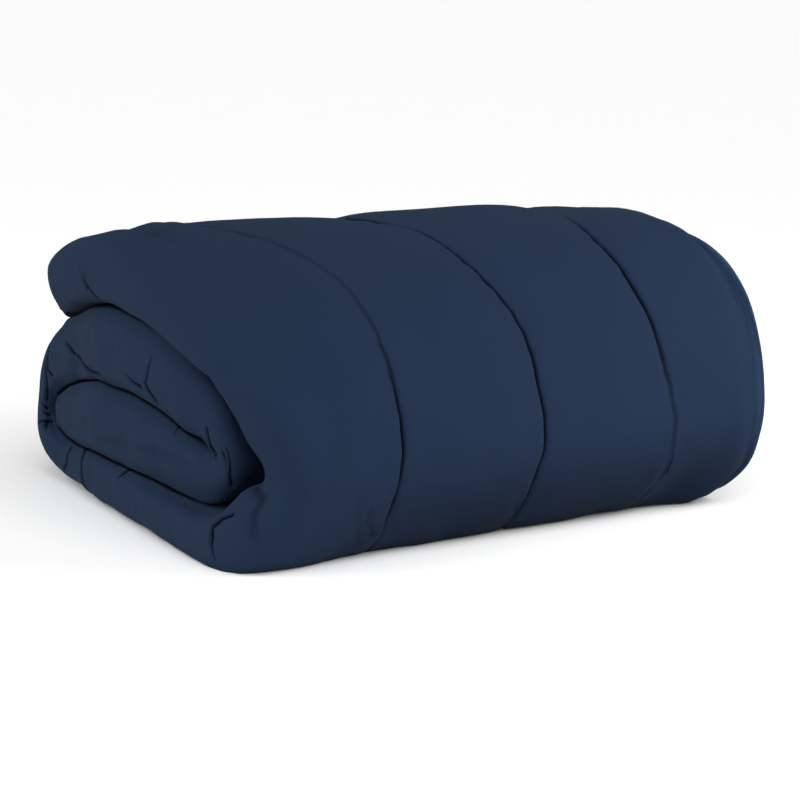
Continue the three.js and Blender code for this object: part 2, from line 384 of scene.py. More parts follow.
turn_fine = np.linspace(-math.pi / 2, math.pi / 2, 2001)
fold_back, fold_level = fold_section(turn_fine, FOLD_ROUND, FOLD_POWER)
fold_run = path_length(fold_back, fold_level * NOMINAL_HALF)
fold_turn = np.interp(np.linspace(0, fold_run[-1], FOLD_STEPS + 1), fold_run, turn_fine)
fold_back, fold_level = fold_section(fold_turn, FOLD_ROUND, FOLD_POWER)
fold_x = fold_back - HALF_LENGTH
sewn_u = np.linspace(0, len(SEWN_RIM) - 1, SEWN_STEPS + 1)
sewn_x = HALF_LENGTH - through_rows(SEWN_RIM[:, 0], sewn_u)
sewn_level = through_rows(SEWN_RIM[:, 1], sewn_u)
face_x = graded([-HALF_LENGTH + FOLD_SHAPE[:, 1].max(), *SEAMS, sewn_x[0]], FACE_STEPS)
slope = np.clip((face_x - (HALF_LENGTH - HEM_WIDTH - HEM_SWELL)) / HEM_SWELL, 0, 1)
face_level = 1 - (1 - sewn_level[0]) * slope ** HEM_FLATNESS
inner_x = graded([sewn_x[-1], *SEAMS[::-1], fold_x[0]], INNER_STEPS)
slope = np.clip((inner_x - (sewn_x[-1] - HEM_SWELL)) / HEM_SWELL, 0, 1)
inner_level = -1 + (1 + sewn_level[-1]) * slope ** HEM_FLATNESS

loop_x = np.concatenate((fold_x, face_x, sewn_x, inner_x))
loop_level = np.concatenate((fold_level, face_level, sewn_level, inner_level))
loop_count = len(loop_x)
fold_count = FOLD_STEPS + 1
sewn_start = fold_count + len(face_x)  # the loop's index where the sewn rim starts
inner_start = sewn_start + SEWN_STEPS + 1
seam_columns = [fold_count + np.abs(face_x - seam_x).argmin() for seam_x in SEAMS]  # on the outer face
closed_run = path_length(np.append(loop_x, loop_x[0]), NOMINAL_HALF * np.append(loop_level, loop_level[0]))
loop_round = closed_run[:-1] - closed_run[FOLD_STEPS // 2]  # distance round the loop from the fold's tip
loop_round[inner_start:] -= closed_run[-1]

SEAM_DEPTH = 8.5  # how far a sewn line draws the face in
SEAM_SPREAD = 1.7  # the distance over which the face swells out again, next to the stitches
SEAM_HOLLOW = 2.2  # the part of that depth that swells out slowly
HOLLOW_SPREAD = 13.0
SEAM_WANDER = 0.9  # how far the stitches wander to either side
WANDER_LENGTH = 11.0
PUCKER_HEIGHT = 0.8  # small gathers that run from the stitches into the channels
PUCKER_PITCH = 7.0
PUCKER_REACH = 11.0


def seam_dent(x, row, run):
    """How far the sewn lines draw in the face at a place across the roll."""
    dent = np.zeros(np.broadcast(x, row).shape)
    for k, seam_x in enumerate(SEAMS):
        away = np.abs(x - seam_x)
        close = (SEAM_DEPTH - SEAM_HOLLOW) * np.exp(-away / SEAM_SPREAD)
        drawn = close + SEAM_HOLLOW * np.exp(-away / HOLLOW_SPREAD)
        gather = soft_noise(run / PUCKER_PITCH, 10.0 * k + 3.0 * (x > seam_x), 5)
        beside = np.exp(-away / PUCKER_REACH) * (1 - np.exp(-away / SEAM_SPREAD))
        dent += along_table(SEAM_SHOWS, k + 1, row, SEAM_EVEN) * (drawn + PUCKER_HEIGHT * gather * beside)
    return dent


def end_share(distance):
    """The share of the thickness left at a distance from either end of the winding."""
    left = 1 - np.clip(distance / END_ROUND, 0, 1)
    return 1 - END_THINS + END_THINS * np.sqrt(1 - left * left)


def placed(station, x, level, dent, slide=0.0):
    """Points of the skin: a station of the winding, a place across the roll, a share of the thickness."""
    at = {name: column[station] for name, column in wind.items()}
    run, row = travelled[station], rows[station]
    fullness = smoothstep(x, *SWELL_X)
    rim = smoothstep(-x, *RIM_CHANGE_X)
    change = {name: along_table(RIM_CHANGE, i, row, RIM_EVEN) * rim for i, name in enumerate(RIM_COLUMNS)}
    hollow_share = smoothstep(-x, *HOLLOW_X[:2]) * (1 - smoothstep(-x, *HOLLOW_X[2:]))
    hollow = along_table(HOLLOW, 1, row, RIM_EVEN) * hollow_share
    drawn = along_table(RIM_DRAWN, 1, row, RIM_EVEN) * rim
    out_half = at["out"] + at["swell"] * fullness + change["out"] - hollow + drawn
    half = np.where(level > 0, out_half, at["in"] + change["in"] - drawn)
    rise = half * level * end_share(np.minimum(run, LENGTH - run))
    rise = rise - np.sign(level) * dent * at["sewn"] - drawn
    hem_drop = along_table(HEM_DROP, 1, row, HEM_EVEN) * smoothstep(x, *HEM_DROP_X)
    rise = rise - hem_drop * np.clip(level, 0, 1)
    fold_pull = smoothstep(-x, -FIRST_SEAM_X, HALF_LENGTH)
    hem_pull = smoothstep(x, LAST_SEAM_X, HALF_LENGTH)
    waves = HEM_WAVE * (1 + soft_noise(run / HEM_WAVE_LENGTH, 5.0 * level, 8))
    short = along_table(HEM_SHORT, 1, row, HEM_EVEN) + waves
    stray = []
    for k in (1, 2, 3):
        wander = SEAM_WANDER * soft_noise(run / WANDER_LENGTH, 9.0 * k, 2)
        stray.append(along_table(STRAY, k, row, STRAY_EVEN) + wander)
    anchors = [-HALF_LENGTH, *SEAMS, HALF_LENGTH]
    pull = sum(stray[k] * np.interp(x, anchors, np.eye(len(anchors))[k + 1]) for k in range(3))
    return np.stack((
        x + pull + (at["fold"] + change["short"]) * fold_pull - (at["hem"] + short) * hem_pull,
        at["y"] - MIDDLE_Y + change["back"] + at["outward_y"] * rise + at["along_y"] * slide,
        above_floor(at["z"] + at["outward_z"] * rise + at["along_z"] * slide),
    ), -1)


grid_i, grid_j = np.meshgrid(np.arange(along_count), np.arange(loop_count), indexing="ij")
grid_x, grid_level = loop_x[grid_j], loop_level[grid_j]
fold = {}
for i, name in enumerate(FOLD_COLUMNS):
    fold[name] = np.interp(rows, FOLD_SHAPE[:, 0], FOLD_SHAPE[:, i])[:, None]
opens = fold_turn[None, :] > 0
rim_back, rim_level = fold_section(
    fold_turn[None, :],
    np.where(opens, fold["out_round"], fold["in_round"]),
    np.where(opens, fold["out_power"], fold["in_power"]),
)
grid_x[:, :fold_count], grid_level[:, :fold_count] = rim_back - HALF_LENGTH, rim_level
grid_dent = seam_dent(loop_x[None, :], rows[:, None], travelled[:, None])
grid_dent *= smoothstep(np.minimum(travelled, LENGTH - travelled), END_INSET, END_INSET + END_SEAM)[:, None]
points = placed(grid_i, grid_x, grid_level, grid_dent).reshape(-1, 3)
number = np.arange(along_count * loop_count).reshape(along_count, loop_count)
following = np.roll(number, -1, 1)
quads = np.stack((number[:-1], number[1:], following[1:], following[:-1]), -1).reshape(-1, 4)
faces = quads.tolist()


def zip_chains(upper, lower, x):
    """Triangles between two chains of points that both run along the roll."""
    made, a, b = [], 0, 0
    while a < len(upper) - 1 or b < len(lower) - 1:
        step_upper = b == len(lower) - 1 or (a < len(upper) - 1 and x[upper[a + 1]] <= x[lower[b + 1]])
        if step_upper:
            made.append((upper[a], upper[a + 1], lower[b]))
            a += 1
        else:
            made.append((upper[a], lower[b + 1], lower[b]))
            b += 1
    return [t for t in made if len(set(t)) == 3]


# The two ends of the winding, where the hemmed edges of the four folded widths lie on each other.
END_STATIONS = 64
END_FADE = 46.0  # the stacked edges close up towards the rims over this length
END_CREASE_POWER = 2.2  # more makes the creases between them sharper
end_runs, end_rounds = [], []  # the coordinates on the cloth of the points that are added there


def close_end(station, outwards):
    """Adds the stacked edges that close one end of the winding."""
    global points
    chain_outer = [number[station, j] for j in range(fold_count - 1, sewn_start + 1)]
    chain_inner = [number[station, j] for j in [*range(inner_start - 1, loop_count), 0]][::-1]
    rows_made = [chain_outer]
    share = np.arange(1, END_STATIONS) / END_STATIONS
    for k in range(1, FOLD_STEPS):
        left_j, right_j = FOLD_STEPS - k, sewn_start + k * SEWN_STEPS // FOLD_STEPS
        left_x, right_x = grid_x[station, left_j], grid_x[station, right_j]
        x = left_x + (right_x - left_x) * share
        from_left = smoothstep(x, left_x, left_x + END_FADE)
        from_right = smoothstep(-x, -right_x, -right_x + END_FADE)
        middle_level = 1 - 2 * k / FOLD_STEPS
        level = middle_level + (grid_level[station, left_j] - middle_level) * (1 - from_left)
        level = level + (grid_level[station, right_j] - middle_level) * (1 - from_right)
        width = abs((k / FOLD_STEPS * STACKED_WIDTHS) % 1 * 2 - 1)
        reach = (END_INSET - END_CREASE * width ** END_CREASE_POWER) * from_left * from_right
        made = placed(np.full(len(x), station), x, level, np.zeros(len(x)), outwards * reach)
        end_runs.extend(travelled[station] + outwards * NOMINAL_HALF * (1 - level))
        end_rounds.extend(x + HALF_LENGTH + NOMINAL_HALF)
        start = len(points)
        points = np.concatenate((points, made))
        rows_made.append([number[station, left_j], *range(start, start + len(x)), number[station, right_j]])
    rows_made.append(chain_inner)
    x = points[:, 0]
    for upper, lower in zip(rows_made[:-1], rows_made[1:]):
        triangles = zip_chains(upper, lower, x)
        faces.extend(triangles if outwards < 0 else [t[::-1] for t in triangles])


close_end(0, -1)
close_end(along_count - 1, 1)

# The layers press on each other: where two faces are a little apart, each swells half the way to the
# other and stops just short of it.
PRESS_REACH = (8.0, 13.0)  # a gap up to the first closes, one past the second stays open
PRESS_CLEAR = 1.4  # what each face stops short of the middle of the gap
PRESS_SMOOTH = 6  # rounds of evening out
PRESS_START = 0.3  # the search for the next layer starts this far off a face
PRESS_FACING = -0.3  # and the two normals point against each other at least this much


def corner_normals(places, polygons):
    """Outward normals at the points of a skin of polygons with three or four corners."""
    corners = np.array([tuple(f) + (f[-1],) * (4 - len(f)) for f in polygons])
    first, second, third, fourth = (places[corners[:, c]] for c in range(4))
    across = np.cross(third - first, fourth - second)
    flat = np.cross(second - first, third - first)
    across = np.where((corners[:, 2] == corners[:, 3])[:, None], flat, across)
    made = np.zeros_like(places)
    for c in range(4):
        np.add.at(made, corners[:, c], across)
    return made / np.maximum(np.linalg.norm(made, axis=1, keepdims=True), 1e-9)


def evened(field, rounds):
    """A field on the grid of the skin, averaged with its neighbours."""
    for _ in range(rounds):
        field = (np.roll(field, 1, 1) + 2 * field + np.roll(field, -1, 1)) / 4
        ends = np.concatenate((field[:1], field, field[-1:]))
        field = (ends[:-2] + 2 * field + ends[2:]) / 4
    return field


def pressed(places, polygons):
    """How far points of the grid swell towards the next layer, how much they touch it, and their normals."""
    normals = corner_normals(places, polygons)
    tree = BVHTree.FromPolygons(places.tolist(), polygons)
    gap = np.full(number.size, np.inf)
    for v in range(number.size):
        start = Vector(places[v] + normals[v] * PRESS_START)
        hit, hit_normal, _, distance = tree.ray_cast(start, Vector(normals[v]), PRESS_REACH[1])
        if hit is not None and hit_normal.dot(Vector(normals[v])) < PRESS_FACING:
            gap[v] = distance + PRESS_START
    near = np.isfinite(gap)
    reach = np.where(near, gap, 0)
    swell = np.where(near, (reach / 2 - PRESS_CLEAR) * (1 - smoothstep(reach, *PRESS_REACH)), 0)
    touching = np.where(near, 1 - smoothstep(reach, *PRESS_REACH), 0)
    fields = [evened(field.reshape(number.shape), PRESS_SMOOTH) for field in (swell, touching)]
    return fields, normals[:number.size]


# Filling never lies quite evenly: the face rolls a little, and the folded rim more.
UNEVEN_FACE, FACE_ROLL = 1.0, 52.0  # height and length of the rolls on the face
UNEVEN_RIM, RIM_ROLL = 0.8, 31.0  # and on the folded rim
RIM_ROUND = (60.0, 100.0)  # the folded rim ends from here to here round the section
rim_share = 1 - smoothstep(np.abs(loop_round), *RIM_ROUND)
uneven = UNEVEN_FACE * soft_noise(travelled[:, None] / FACE_ROLL, loop_round[None, :] / FACE_ROLL, 11)
rim_uneven = soft_noise(travelled[:, None] / RIM_ROLL, loop_round[None, :] / RIM_ROLL, 12)
uneven = uneven + UNEVEN_RIM * rim_share * rim_uneven
points[:number.size] += corner_normals(points, faces)[:number.size] * uneven.reshape(-1, 1)

(swell, touching), normals = pressed(points, faces)
points[:number.size] += normals * swell.reshape(-1, 1)
points[:, 2] = np.maximum(points[:, 2], FLOOR_CLEAR)

# The filling presses the cloth out between the sewn lines. That is simulated on a coarser copy of the skin
# that shows, held at the sewn lines and where it lies on the floor or on another layer.
SIM_STEP = 7.0  # mesh step of the copy
SIM_FRAMES = 20
SIM_PRESSURE = 3.0
SIM_SPARE = 0.012  # the share of spare cloth that the filling takes up
SIM_START = 3.5  # the cloth starts this far inside its place
SIM_CAP = 4.0  # and ends no further from it than this
SIM_BROAD = 0.15  # the share kept of the broad swell, which the winding has already
SIM_BROAD_ROUNDS, SIM_FINE_ROUNDS = 60, 2  # rounds of evening out
SIM_RIM = 0.55  # the share kept on the folded rim, where the cloth is stretched round the fold
SIM_ROWS = ((0.3, 12.4), (17.6, 21.6))  # where the outer face shows; the folded rim shows everywhere
SIM_TOUCH = 0.12  # a point that touches another layer more than this is held
SIM_FLOOR = 5.0  # so is one this near the floor
SIM_QUALITY, SIM_MASS = 6, 0.3
SIM_STRETCH, SIM_SHEAR, SIM_BEND = 15.0, 5.0, 0.5  # how stiff the cloth is


def add_object(name, data):
    """Adds an object to the scene."""
    made = bpy.data.objects.new(name, data)
    bpy.context.scene.collection.objects.link(made)
    return made


def point_vectors(collection, name):
    values = np.zeros(len(collection) * 3, np.float32)
    collection.foreach_get(name, values)
    return values.reshape(-1, 3).astype(float)


def filled_out(places, contact):
    """How far the cloth simulation moves each point of the skin's grid."""
    keep_i = np.unique(np.round(np.arange(0, along_count - 1, SIM_STEP / ALONG_STEP)).astype(int))
    keep_j = [0]
    for j in range(1, inner_start):
        if closed_run[j] - closed_run[keep_j[-1]] > SIM_STEP or j in seam_columns:
            keep_j.append(j)
    keep_j = np.array(keep_j)
    shape = (len(keep_i), len(keep_j))
    row, column = rows[keep_i][:, None], keep_j[None, :]
    shows = np.zeros(shape, bool)
    for start_row, end_row in SIM_ROWS:
        shows |= (row > start_row) & (row < end_row) & (column > FOLD_STEPS // 2)
    shows |= (column < fold_count) & (row > SIM_ROWS[0][0]) & (row < LAST_ROW - SIM_ROWS[0][0])
    shows &= (column > 1) & (column < sewn_start - 1) & ~np.isin(column, seam_columns)
    skin_shape = (along_count, loop_count, 3)
    home = places[:number.size].reshape(skin_shape)[keep_i][:, keep_j]
    outward = corner_normals(places, faces)[:number.size].reshape(skin_shape)[keep_i][:, keep_j]
    free = shows & (contact[keep_i][:, keep_j] < SIM_TOUCH) & (home[..., 2] > SIM_FLOOR)
    index = np.arange(home.shape[0] * home.shape[1]).reshape(shape)
    quads = np.stack((index[:-1, :-1], index[1:, :-1], index[1:, 1:], index[:-1, 1:]), -1).reshape(-1, 4)
    quads = quads[free.ravel()[quads].any(1)]
    used, quads = np.unique(quads, return_inverse=True)
    inset = SIM_START * free.ravel()[used][:, None] * outward.reshape(-1, 3)[used]
    start = home.reshape(-1, 3)[used] - inset

    sheet_mesh = bpy.data.meshes.new("filled_out")
    sheet_mesh.from_pydata((start * MM).tolist(), [], quads.reshape(-1, 4).tolist())
    sheet = add_object("filled_out", sheet_mesh)
    held = sheet.vertex_groups.new(name="held")
    held.add(np.flatnonzero(~free.ravel()[used]).tolist(), 1.0, "REPLACE")
    filling = sheet.modifiers.new("filling", "CLOTH")
    cloth = filling.settings
    cloth.quality, cloth.mass = SIM_QUALITY, SIM_MASS
    cloth.tension_stiffness = cloth.compression_stiffness = SIM_STRETCH
    cloth.shear_stiffness, cloth.bending_stiffness = SIM_SHEAR, SIM_BEND
    cloth.use_pressure, cloth.uniform_pressure_force = True, SIM_PRESSURE
    cloth.effector_weights.gravity = 0.0
    cloth.vertex_group_mass = held.name
    cloth.shrink_min = -SIM_SPARE
    filling.collision_settings.use_collision = False
    filling.point_cache.frame_start, filling.point_cache.frame_end = 1, SIM_FRAMES
    for step in range(1, SIM_FRAMES + 1):
        bpy.context.scene.frame_set(step)
    settled = sheet.evaluated_get(bpy.context.evaluated_depsgraph_get()).data
    ends = point_vectors(settled.vertices, "co") / MM
    bpy.data.objects.remove(sheet)
    bpy.data.meshes.remove(sheet_mesh)
    bpy.context.scene.frame_set(1)

    move = np.zeros((home.shape[0] * home.shape[1], 3))
    move[used] = ends - home.reshape(-1, 3)[used]
    far = np.linalg.norm(move, axis=1, keepdims=True)
    move = (move * np.minimum(1, SIM_CAP / np.maximum(far, 1e-9))).reshape(*shape, 3)
    along = np.zeros((along_count, shape[1], 3))
    for c in range(shape[1]):
        for k in range(3):
            along[:, c, k] = np.interp(np.arange(along_count), keep_i, move[:, c, k])
    around = np.zeros((along_count, loop_count, 3))
    at = np.interp(np.arange(inner_start), keep_j, np.arange(len(keep_j)))
    low = np.minimum(np.floor(at).astype(int), len(keep_j) - 2)
    share = (at - low)[None, :, None]
    around[:, :inner_start] = along[:, low] * (1 - share) + along[:, low + 1] * share
    moves = [evened(around[..., k], SIM_FINE_ROUNDS) for k in range(3)]
    kept = 1 - (1 - SIM_RIM) * rim_share
    return np.stack([kept * (m - (1 - SIM_BROAD) * evened(m, SIM_BROAD_ROUNDS)) for m in moves], -1)


points[:number.size] += filled_out(points, touching).reshape(-1, 3)
points[:, 2] = np.maximum(points[:, 2], FLOOR_CLEAR)

# Soft swells and hollows where the filling has shifted: height, reach along the winding and round the
# section, row and distance round the section.
SWELLS = (
    (4.0, 46.0, 42.0, 3.1, 155),
    (-9.0, 60.0, 12.0, 3.07, 114),
    (-3.5, 60.0, 40.0, 3.3, 310),
    (5.5, 60.0, 40.0, 3.55, 448),
    (3.0, 50.0, 40.0, 4.6, 560),
    (5.0, 40.0, 24.0, 5.7, 584),
    (-5.0, 16.0, 12.0, 22.4, -16),
    (6.5, 40.0, 120.0, 11.9, 125),
    (-6.0, 22.0, 24.0, 11.2, 522),
    (-1.2, 14.0, 22.0, 7.05, 510),
    (-1.0, 16.0, 16.0, 7.46, 542),
    (3.0, 12.0, 14.0, 11.40, 4),
    (-6.0, 40.0, 22.0, 1.2, -26),
    (4.0, 30.0, 40.0, 18.9, 0),
    (-2.0, 25.0, 20.0, 22.2, 33),
    (5.5, 36.0, 30.0, 11.4, 585),
)
swollen = np.zeros(number.shape)
for height, along_reach, round_reach, row, distance in SWELLS:
    along = (travelled - np.interp(row, rows, travelled))[:, None] / along_reach
    around = (loop_round - distance)[None, :] / round_reach
    swollen += height * np.exp(-along ** 2 - around ** 2)
points[:number.size] += corner_normals(points, faces)[:number.size] * swollen.reshape(-1, 1)
points[:, 2] = np.maximum(points[:, 2], FLOOR_CLEAR)

# Creases that the folding has pinched into the cloth: depth, half width, the share of the depth by
# which the cloth on one side stands up, the shares of the depth left at the start and at the end, and
# the path, as rows of the winding and distances round the section, counted from the fold's tip and
# negative on the inner side.
CREASES = (
    (3.0, 2.0, 0.15, 0.1, 0.8, ((2.36, 7), (2.51, -5), (2.54, -18))),
    (5.0, 1.7, 0.2, 0.2, 1.0, ((2.46, -5), (2.62, -20), (2.74, -33))),
    (5.0, 3.0, 0.1, 0.4, 1.0, ((22.20, 10), (22.44, 0))),
    (9.0, 2.2, 0.2, 0.5, 1.0, ((22.55, -2), (22.95, -15), (23.15, -23), (23.53, -24))),
    (5.0, 1.8, 0.2, 0.6, 1.0, ((21.25, 20), (21.05, 3), (21.20, -8))),
    (7.5, 2.0, 0.2, 0.7, 1.0, ((20.96, 6), (20.56, -8), (20.01, -20))),
    (6.5, 1.6, 0.2, 0.2, 1.0, ((25.20, 16), (25.06, -5), (25.15, -11), (25.39, -19))),
    (4.5, 1.6, 0.15, 0.2, 1.0, ((24.51, -6), (24.69, -12), (24.92, -13))),
    (4.5, 1.6, 0.15, 1.0, 0.2, ((29.92, -54), (29.84, -34))),
    (3.0, 1.7, 0.1, 0.6, 0.6, ((25.71, -21), (25.92, -25), (26.17, -29))),
    (1.0, 5.0, 0.1, 0.6, 0.6, ((31.80, 6), (29.40, -4))),
    (7.0, 1.7, 0.25, 0.3, 1.0, ((27.09, 8), (27.52, -8), (27.83, 0))),
    (6.0, 1.6, 0.2, 0.3, 1.0, ((27.00, -18), (27.35, -20), (27.72, -10))),
    (5.0, 1.7, 0.05, 0.2, 0.8, ((27.69, 31), (27.92, 33), (28.23, 37), (28.42, 46))),
    (4.0, 1.5, 0.05, 0.8, 0.1, ((27.78, 21), (27.90, 25), (28.06, 30))),
    (8.0, 2.2, 0.15, 1.0, 0.2, ((15.26, -48), (15.30, -36), (15.34, -24))),
    (3.5, 2.2, 0.15, 0.8, 0.6, ((17.56, -31), (17.59, -2), (17.80, 16))),
    (6.0, 1.7, 0.2, 0.8, 0.8, ((17.04, -44), (16.90, -28), (16.79, -11), (16.72, 8), (16.66, 22))),
    (6.5, 2.0, 0.04, 1.0, 0.9, ((11.31, -3), (11.70, -12), (12.05, -8), (12.18, 5))),
    (5.5, 1.7, 0.04, 1.0, 0.2, ((12.18, 4), (12.24, 10), (12.30, 20))),
    (3.0, 4.5, 0.1, 0.8, 0.4, ((10.32, -20), (10.36, 5), (10.80, 12), (11.19, 24))),
    (5.5, 1.7, 0.2, 0.4, 1.0, ((19.84, 0), (19.66, -25))),
    (4.5, 1.6, -0.2, 0.4, 1.0, ((19.58, -8), (19.42, -30))),
    (5.0, 1.7, 0.2, 0.5, 1.0, ((19.30, 6), (19.16, -33))),
    (5.0, 2.0, 0.2, 1.0, 0.3, ((19.12, -22), (18.88, -15))),
    (2.4, 4.5, 0.15, 0.2, 1.0, ((10.20, 160), (10.80, 166), (11.40, 180))),
    (1.8, 6.0, 0.15, 0.1, 1.0, ((9.85, 133), (10.80, 152), (11.60, 168))),
    (2.0, 4.0, 0.15, 0.1, 1.0, ((10.40, 190), (11.00, 198), (11.60, 208))),
    (1.6, 5.0, 0.15, 0.1, 1.0, ((10.90, 244), (11.30, 251), (11.70, 264))),
    (2.4, 3.6, 0.15, 0.1, 1.0, ((10.30, 326), (10.90, 330), (11.50, 338))),
    (4.0, 1.6, 0.1, 0.2, 0.3, ((6.70, 590), (6.95, 591), (7.30, 591))),
    (4.0, 1.2, 0.1, 0.3, 1.0, ((10.15, 493), (10.80, 495))),
)
CREASE_SLIT = 0.6  # the share of a crease's depth that is a narrow slit
CREASE_SHARP = 0.42  # and the slit's share of the width
CREASE_POWER = 1.3  # 2 would round the bottom, less makes it sharper
LIP_AWAY = 2.2  # the side that stands up does so this many half widths away
FINE_REACH = 7.5  # the mesh is finer this far to each side of a crease
FINE_CUTS = 3
CREASE_STEPS = 40  # points of a crease's line from one place of its path to the next
FINE_WIDTH = 3.5  # up to this half width; a wider crease needs no finer mesh
CREASE_WINDOW = 24.0  # a crease changes nothing further away than this
# Painted shade: the material darkens the cloth's colour by the shade below, at the bottom of creases, along
# sewn lines and where layers touch.
SHADE_DEPTH = 4.0  # a crease this deep keeps the light out of its bottom
SHADE_WIDTH = 0.95  # the share of its half width that is in shade
SEAM_SHADE = 1.5  # and how far to each side of a sewn line
CONTACT_SHADE = (0.55, 0.95)  # a face is in shade where it touches the next layer, from here to here
CONTACT_X = (190.0, 240.0)  # which fades out towards the sewn rim
RIM_LINE = 60.0  # the edge of that shade shows this far round the folded rim
SHADE_SEEN = 0.01  # less shade than this can't be seen
SUNK_SEEN = 0.05  # nor can a dent this shallow
# The outer face turns under towards the floor, and less light gets there, which is painted on as shade:
# height and share of that painted shade, growing from one distance round the section to another.
FLOOR_SHADE = np.array([(0, 0.5), (20, 0.44), (42, 0.33), (63, 0.21), (83, 0.07), (100, 0)])
FLOOR_SHADE_ROUND = (60.0, 330.0)
round_order = np.argsort(loop_round)
grid = points[:number.size].reshape(along_count, loop_count, 3)[:, round_order]


def crease_line(path):
    """Points on the skin along a path of rows and distances round the section, with their two coordinates."""
    share = np.linspace(0, 1, CREASE_STEPS * (len(path) - 1) + 1)
    row, distance = (np.interp(share, np.linspace(0, 1, len(path)), column) for column in np.transpose(path))
    i = np.interp(row, rows, np.arange(along_count))
    j = np.interp(distance, loop_round[round_order], np.arange(loop_count))
    low_i, low_j = np.floor(i).astype(int), np.floor(j).astype(int)
    f, g = (i - low_i)[:, None], (j - low_j)[:, None]
    near = grid[low_i, low_j] * (1 - g) + grid[low_i, low_j + 1] * g
    far = grid[low_i + 1, low_j] * (1 - g) + grid[low_i + 1, low_j + 1] * g
    return near * (1 - f) + far * f, np.interp(row, rows, travelled), distance, share


def beside_crease(runs, rounds, line_run, line_round):
    """Which points lie in the window round a crease, by their two coordinates on the skin."""
    along = (runs > line_run.min() - CREASE_WINDOW) & (runs < line_run.max() + CREASE_WINDOW)
    around = (rounds > line_round.min() - CREASE_WINDOW) & (rounds < line_round.max() + CREASE_WINDOW)
    return np.flatnonzero(along & around)


grid_run, grid_round = np.broadcast_arrays(travelled[:, None], loop_round[None, :])
flat_run, flat_round = grid_run.ravel(), grid_round.ravel()
fine_point = np.zeros(len(points), bool)
for _, width, *_, path in CREASES:
    if width < FINE_WIDTH:
        line, line_run, line_round, _ = crease_line(path)
        beside = beside_crease(flat_run, flat_round, line_run, line_round)
        away = np.linalg.norm(points[beside][:, None, :] - line[None, :, :], axis=-1).min(1)
        fine_point[beside[away < FINE_REACH]] = True

comforter_mesh = bpy.data.meshes.new("comforter_cloth")
comforter_mesh.from_pydata((points * MM).tolist(), [], faces)
# Painted highlight: the hem attribute makes the pressed edge of the hem paler in the material.
hem_highlight_band = np.zeros(loop_count)
hem_highlight_band[sewn_start:inner_start] = smoothstep(sewn_u, *HEM_HIGHLIGHT_SPAN[:2]) * (1 - smoothstep(sewn_u, *HEM_HIGHLIGHT_SPAN[2:]))
hem_highlight_share = along_table(HEM_HIGHLIGHT_ROWS, 1, rows, LIP_EVEN)[:, None] * hem_highlight_band
at_ends = np.zeros(len(end_runs))
for name, values in {
    "run": np.concatenate((flat_run, end_runs)),
    "round": np.concatenate((flat_round, end_rounds)),
    "touching": np.concatenate((touching.ravel(), at_ends)),
    "hem": np.concatenate((hem_highlight_share.ravel(), at_ends)),
}.items():
    comforter_mesh.attributes.new(name, "FLOAT", "POINT").data.foreach_set("value", values.astype(np.float32))

skin = bmesh.new()
skin.from_mesh(comforter_mesh)
skin.faces.ensure_lookup_table()
fine_quad = np.flatnonzero(fine_point[quads].any(1))
fine_edges = list({edge for f in fine_quad for edge in skin.faces[f].edges})
bmesh.ops.subdivide_edges(skin, edges=fine_edges, cuts=FINE_CUTS, use_grid_fill=True)
skin.normal_update()
skin.to_mesh(comforter_mesh)
skin.free()


def point_values(mesh, name):
    """A named value at every point of a mesh."""
    values = np.zeros(len(mesh.vertices), np.float32)
    mesh.attributes[name].data.foreach_get("value", values)
    return values


places = point_vectors(comforter_mesh.vertices, "co") / MM
normals = point_vectors(comforter_mesh.vertex_normals, "vector")
runs, rounds, contact = (point_values(comforter_mesh, name) for name in ("run", "round", "touching"))
# Each crease sinks the cloth and paints shade into its bottom: a darker colour in place of the light that it
# keeps out.
sunk, shade = np.zeros(len(places)), np.zeros(len(places))
for depth, width, lip, start_share, end_share_left, path in CREASES:
    line, line_run, line_round, share = crease_line(path)
    beside = beside_crease(runs, rounds, line_run, line_round)
    offset = places[beside][:, None, :] - line[None, :, :]
    away = np.linalg.norm(offset, axis=-1)
    nearest = away.argmin(1)
    d = away.min(1) / width
    strength = (start_share + (end_share_left - start_share) * share)[nearest]
    across = np.cross(line[-1] - line[0], normals[beside].mean(0)) * np.sign(lip)
    side = (places[beside] - line[nearest]) @ across
    stands = abs(lip) * (side > 0) * np.exp(-((d - LIP_AWAY) ** 2)) * (1 - contact[beside])
    slit = CREASE_SLIT * np.exp(-((d / CREASE_SHARP) ** CREASE_POWER))
    sunk[beside] += depth * strength * (slit + (1 - CREASE_SLIT) * np.exp(-(d ** CREASE_POWER)) - stands)
    darkest = np.clip(depth * strength / SHADE_DEPTH, 0, 1)
    shade[beside] = np.maximum(shade[beside], darkest * np.exp(-((d / SHADE_WIDTH) ** 2)))
places -= normals * sunk[:, None]
places[:, 2] = np.maximum(places[:, 2], FLOOR_CLEAR)
comforter_mesh.vertices.foreach_set("co", (places * MM).astype(np.float32).ravel())
# Painted shade is also laid along the sewn lines, where one layer touches the next and where the face turns
# under to the floor.
row_at = np.interp(runs, travelled, rows)
on_face = smoothstep(np.minimum(runs - travelled[0], travelled[-1] - runs), 0, END_SEAM)
sewn_share = through_rows(WINDING[:, WINDING_COLUMNS.index("sewn")], row_at)
for k, seam_column in enumerate(seam_columns):
    shows = along_table(SEAM_SHOWS, k + 1, row_at, SEAM_EVEN) * sewn_share
    line_shade = np.clip(shows, 0, 1) * np.exp(-(((rounds - loop_round[seam_column]) / SEAM_SHADE) ** 2))
    shade = np.maximum(shade, line_shade * on_face)
touch_shade = smoothstep(contact, *CONTACT_SHADE) * (1 - smoothstep(places[:, 0], *CONTACT_X))
on_rim_line = (touch_shade > SHADE_SEEN) & (np.abs(rounds) < RIM_LINE)
plain = (shade < SHADE_SEEN) & (np.abs(sunk) < SUNK_SEEN)
